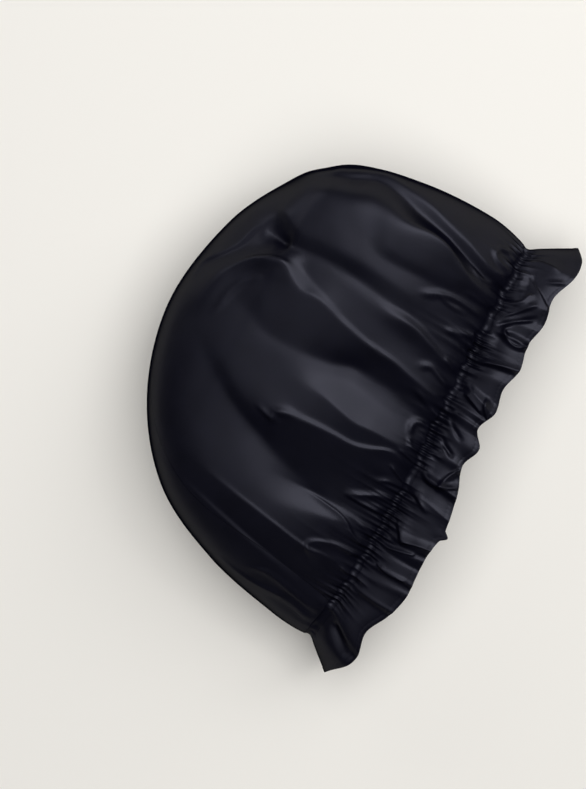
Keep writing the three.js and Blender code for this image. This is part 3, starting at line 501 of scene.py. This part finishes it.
def channel_point(share, v):
    """The channel: a band round the mouth, drawn in along its middle as a parabola and puckered by
    the elastic."""
    angle = angle_of(share)
    across, up, way, place = ring_point(angle)
    fine, broad, jog = gathers(share)
    calm = ease(np.abs(up) / 0.3)
    swell = calm * (FINE_PLEAT * fine + broad) + at_mouth(across, up, place) * (1 - 0.3 * v)
    point = place + way * (swell - NIP - 4 * PINCH * v * (1 - v))[..., None]
    point[..., 1] -= SEAM_GAP + v * CHANNEL_WIDTH - jog * calm
    return point


def frill_point(share, t):
    """The frill: it leaves the channel in fine pleats that open into creased, flat panels, and its
    lower half lies on the floor in even waves. The turned hem is a little thicker, with a groove
    where it is stitched."""
    angle = angle_of(share)
    across, up, way, place = ring_point(angle)
    upper = ease(0.5 + up)
    free = ease(np.abs(up) / 0.5)
    end = between(HEM_LINE, across, 1)
    reach = FRILL_WIDTH * (end + (LOWER_REACH - end) * (1 - upper) * up * up)
    flare = SIDE_FLARE * t * np.sign(across) * np.abs(across) ** 3
    front = SEAM_GAP * 2 + CHANNEL_WIDTH + reach * t
    px, py = seen(place[..., 0] + flare, place[..., 1] - front, place[..., 2] - REST_HEIGHT)
    top, foot, top_height, foot_height, bends = (CREASES[:, k, None, None] for k in range(5))
    creased = pleated(px, top + (foot - top) * t, top_height + (foot_height - top_height) * t, bends + 0 * px)
    wave = FRILL_WAVE * np.sin(LOWER_WAVES * 4 * math.pi * share) * (1 - upper) * t
    folds = creased + sum(fold_height(fold, px, py + GATHER_LINE) for fold in FRILL_FOLDS)
    wave += folds * upper * ease(t / 0.3) + at_mouth(across, up, place) * 0.7 * ease(1 - t / 0.35)
    fine, broad, jog = gathers(share)
    pleats = FINE_PLEAT * fine * np.exp(-t / 0.12) + broad * np.exp(-t / 0.22)
    edge = reach * (1 - t)
    stitches = 0.6 + 0.4 * np.cos(2 * math.pi * share * LENGTH / STITCH)
    hem = HEM_WALL * ease((HEM - edge) / 0.6) - STITCH_DEPTH * stitches * np.exp(-(((edge - HEM) / 0.4) ** 2))
    lift = free * (wave + FRILL_RISE * np.sin(2.6 * t)) + ease(np.abs(up) / 0.3) * pleats
    lift += hem * ease(t / 0.1) - NIP * np.exp(-t / 0.15)
    point = place + way * lift[..., None]
    point[..., 0] += flare
    point[..., 1] -= front - jog * ease(np.abs(up) / 0.3) * np.exp(-t / 0.2)
    point[..., 2] -= TIP_DROOP * t * (1 - free)
    point[..., 2] = settle(point[..., 2] + np.where(up < 0, up * FRILL_LIFT * t * 2, 0))
    return point


def add_cloth(name, points, uv, ring=False):
    """Makes a mesh from a grid of points, rows by columns, closed sideways where ring is set, and
    gives it a wall under its outer face. The cut edges stay crisp."""
    rows, columns = points.shape[:2]
    at = np.arange(rows * columns).reshape(rows, columns)
    right = np.roll(at, -1, axis=1) if ring else at[:, 1:]
    left = at if ring else at[:, :-1]
    quads = np.stack([left[:-1], right[:-1], right[1:], left[1:]], axis=-1).reshape(-1, 4)
    mesh = bpy.data.meshes.new(name)
    co = points.reshape(-1, 3) + (0, PLAN_TO_FRAME, 0)
    mesh.from_pydata((co / 1000).tolist(), [], quads.tolist())
    layer = mesh.uv_layers.new(name="cloth")
    corners = np.empty(len(mesh.loops), np.int32)
    mesh.loops.foreach_get("vertex_index", corners)
    flat_uv = uv.reshape(-1, 2)[corners]
    if ring:
        wide = flat_uv.reshape(-1, 4, 2)
        wrap = (wide[:, :, 0].max(axis=1) - wide[:, :, 0].min(axis=1)) > wide[:, :, 0].max() / 2
        low = wide[:, :, 0] < flat_uv[:, 0].max() / 2
        wide[:, :, 0] += np.where(wrap[:, None] & low, 2 * uv[0, -1, 0] - uv[0, -2, 0], 0)
        flat_uv = wide.reshape(-1, 2)
    layer.data.foreach_set("uv", (flat_uv / 1000).ravel())
    ends = np.empty(2 * len(mesh.edges), np.int32)
    mesh.edges.foreach_get("vertices", ends)
    row, column = np.divmod(ends.reshape(-1, 2), columns)
    cut = (row[:, 0] == row[:, 1]) & ((row[:, 0] == 0) | (row[:, 0] == rows - 1))
    if not ring:
        cut |= (column[:, 0] == column[:, 1]) & ((column[:, 0] == 0) | (column[:, 0] == columns - 1))
    mesh.attributes.new("sharp_edge", "BOOLEAN", "EDGE").data.foreach_set("value", cut)
    mesh.polygons.foreach_set("use_smooth", np.ones(len(mesh.polygons), bool))
    mesh.update()
    piece = bpy.data.objects.new(name, mesh)
    bpy.context.scene.collection.objects.link(piece)
    wall = piece.modifiers.new("wall", "SOLIDIFY")
    wall.thickness, wall.offset = CLOTH_WALL / 1000, -1
    return piece


def panel(name, upper, columns, rows):
    side = 1 if upper else -1
    u, v = np.meshgrid(np.linspace(-1, 1, columns) * side, np.linspace(0, 1, rows) ** 1.5)
    points = panel_point(u, v, upper)
    return add_cloth(name, points, points[..., :2].copy())


UPPER_PART = 0.7  # of a band's columns that go to its upper half, where the folds are finest


def band(name, surface, columns, rows, width):
    at = np.interp(np.arange(columns) / columns, [0, UPPER_PART, 1], [0, 0.5, 1])
    share, v = np.meshgrid(at, np.linspace(0, 1, rows))
    return add_cloth(name, surface(share, v), np.stack([share * LENGTH, v * width], axis=-1), ring=True)


upper_panel = panel("satin_upper_panel", True, 420, 117)
lower_panel = panel("satin_lower_panel", False, 170, 110)
channel = band("satin_channel", channel_point, 1300, 14, CHANNEL_WIDTH)
frill = band("satin_frill", frill_point, 1300, 38, FRILL_WIDTH)


def linear(hex_colour):
    """An sRGB colour such as #1a2b3c as linear red, green, blue and alpha."""
    parts = [int(hex_colour[i : i + 2], 16) / 255 for i in (1, 3, 5)]
    return [c / 12.92 if c <= 0.04045 else ((c + 0.055) / 1.055) ** 2.4 for c in parts] + [1.0]


def node(tree, kind, links=(), **settings):
    """Adds a node. links maps its inputs to outputs of other nodes, settings its properties or
    input values."""
    made = tree.nodes.new(kind)
    for key, value in settings.items():
        if hasattr(made, key):
            setattr(made, key, value)
        else:
            made.inputs[key.replace("_", " ")].default_value = value
    for name, output in dict(links).items():
        tree.links.new(output, made.inputs[name])
    return made


SHEEN_FADE = 2.6  # how soon the sheen is lost as the cloth turns away


def satin(name, colour, sheen, rim):
    """Black silk-like satin. Its face is long, smooth floats of a navy-black thread, so it is dark
    from most sides and gives a soft, cool sheen where it turns to the light. sheen is how strong
    that is, and rim how far the cloth may turn away before the sheen is gone."""
    material = bpy.data.materials.new(name)
    material.use_nodes = True
    tree = material.node_tree
    tree.nodes.clear()
    place = node(tree, "ShaderNodeUVMap", uv_map="cloth").outputs["UV"]
    # threads: 0.35 mm across and 5 mm along, with slubs, as the floats run up the cloth
    along = node(tree, "ShaderNodeMapping", {"Vector": place}, Scale=(1 / 0.00035, 1 / 0.005, 1.0))
    thread = node(tree, "ShaderNodeTexNoise", {"Vector": along.outputs["Vector"]}, Scale=1.0, Detail=2.0)
    # handling marks: soft patches about 12 mm across that catch a little more or less light
    worn = node(tree, "ShaderNodeTexNoise", {"Vector": place}, Scale=1 / 0.012, Detail=3.0)
    bump = node(tree, "ShaderNodeBump", {"Height": thread.outputs["Fac"]}, Strength=0.3, Distance=0.00008)
    dull = node(tree, "ShaderNodeMapRange", {"Value": worn.outputs["Fac"]}, To_Min=0.36, To_Max=0.46)
    dye = node(tree, "ShaderNodeMix", {"Factor": worn.outputs["Fac"]}, data_type="RGBA")
    dye.inputs["A"].default_value = linear(colour)
    dye.inputs["B"].default_value = linear("#0b0b16")
    graze = node(tree, "ShaderNodeLayerWeight", Blend=0.5)
    faced = node(tree, "ShaderNodeMapRange", {"Value": graze.outputs["Facing"]},
                 From_Max=rim, To_Min=1.0, To_Max=0.0)
    fading = node(tree, "ShaderNodeMath", {0: faced.outputs["Result"]}, operation="POWER")
    fading.inputs[1].default_value = SHEEN_FADE
    gloss = node(tree, "ShaderNodeMath", {0: fading.outputs["Value"]}, operation="MULTIPLY")
    gloss.inputs[1].default_value = sheen
    cloth = node(tree, "ShaderNodeBsdfPrincipled", {
        "Base Color": dye.outputs["Result"], "Roughness": dull.outputs["Result"],
        "Normal": bump.outputs["Normal"], "Specular IOR Level": gloss.outputs["Value"],
    }, IOR=1.5)
    cloth.inputs["Specular Tint"].default_value = linear("#d9daf0")
    out = node(tree, "ShaderNodeOutputMaterial")
    tree.links.new(cloth.outputs["BSDF"], out.inputs["Surface"])
    return material


satin_body = satin("satin_crown", "#06060d", sheen=0.9, rim=0.78)
satin_gathered = satin("satin_channel_cloth", "#06060d", sheen=0.7, rim=0.78)
satin_frilled = satin("satin_frill_cloth", "#06060d", sheen=0.85, rim=0.78)
for piece, cloth, name, use in (
    (upper_panel, satin_body, "upper_panel", "satin"),
    (lower_panel, satin_body, "lower_panel", "satin"),
    (channel, satin_gathered, "elastic_channel", "satin_channel"),
    (frill, satin_frilled, "frill", "satin_frill"),
):
    piece.data.materials.append(cloth)
    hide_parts(name)
    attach(piece, "root")

# Camera: straight down, its right side along TURN.
turn = math.radians(TURN)
camera = bpy.data.objects.new("camera", bpy.data.cameras.new("camera"))
bpy.context.scene.collection.objects.link(camera)
camera_place = Vector((CAMERA_OVER[0], CAMERA_OVER[1] + PLAN_TO_FRAME, CAMERA_HEIGHT + REST_HEIGHT)) / 1000
camera.matrix_world = Matrix.Translation(camera_place) @ Matrix.Rotation(turn, 4, "Z")
camera.data.sensor_width = 36
camera.data.lens = 36 * CAMERA_HEIGHT / PICTURE_HEIGHT
camera.data.clip_end = 20
bpy.context.scene.camera = camera


def softbox(name, place, power, size, size_y=None, aim=(0, 0, 0.03)):
    """An area light at a place, turned to face aim."""
    lamp = bpy.data.lights.new(name, "AREA")
    lamp.shape, lamp.size, lamp.size_y = "RECTANGLE", size, size_y or size
    lamp.energy = power
    holder = bpy.data.objects.new(name, lamp)
    bpy.context.scene.collection.objects.link(holder)
    holder.location = place
    holder.rotation_mode = "QUATERNION"
    holder.rotation_quaternion = (Vector(aim) - Vector(place)).to_track_quat("-Z", "Y")
    return holder


softbox("window", (1.0, -0.4, 0.95), 8.5, 1.1, 1.3)
softbox("back_window", (0.55, 1.2, 0.6), 2.4, 1.1, 0.7)
softbox("ceiling", (0.1, 0.1, 1.7), 2.4, 2.0)
# the room's own light on the floor: even, and too wide to show as a gloss on the cloth
room = softbox("room", (0.0, 0.0, 1.7), 27.0, 2.0)
room.visible_glossy = False

FLOOR_HALF = 6.0
floor_mesh = bpy.data.meshes.new("floor")
floor_corners = [(side * FLOOR_HALF, front * FLOOR_HALF, -0.0005)
                 for side, front in ((-1, -1), (1, -1), (1, 1), (-1, 1))]
floor_mesh.from_pydata(floor_corners, [], [(0, 1, 2, 3)])
floor = bpy.data.objects.new("floor", floor_mesh)
bpy.context.scene.collection.objects.link(floor)
paper = bpy.data.materials.new("pale_paper")
paper.use_nodes = True
paper.node_tree.nodes["Principled BSDF"].inputs["Base Color"].default_value = linear("#f2efe9")
paper.node_tree.nodes["Principled BSDF"].inputs["Roughness"].default_value = 0.9
floor_mesh.materials.append(paper)

world = bpy.data.worlds.new("studio")
bpy.context.scene.world = world
world.use_nodes = True
world.node_tree.nodes["Background"].inputs["Color"].default_value = (1, 1, 1, 1)
world.node_tree.nodes["Background"].inputs["Strength"].default_value = 0.03
bpy.context.scene.view_settings.view_transform = "Standard"
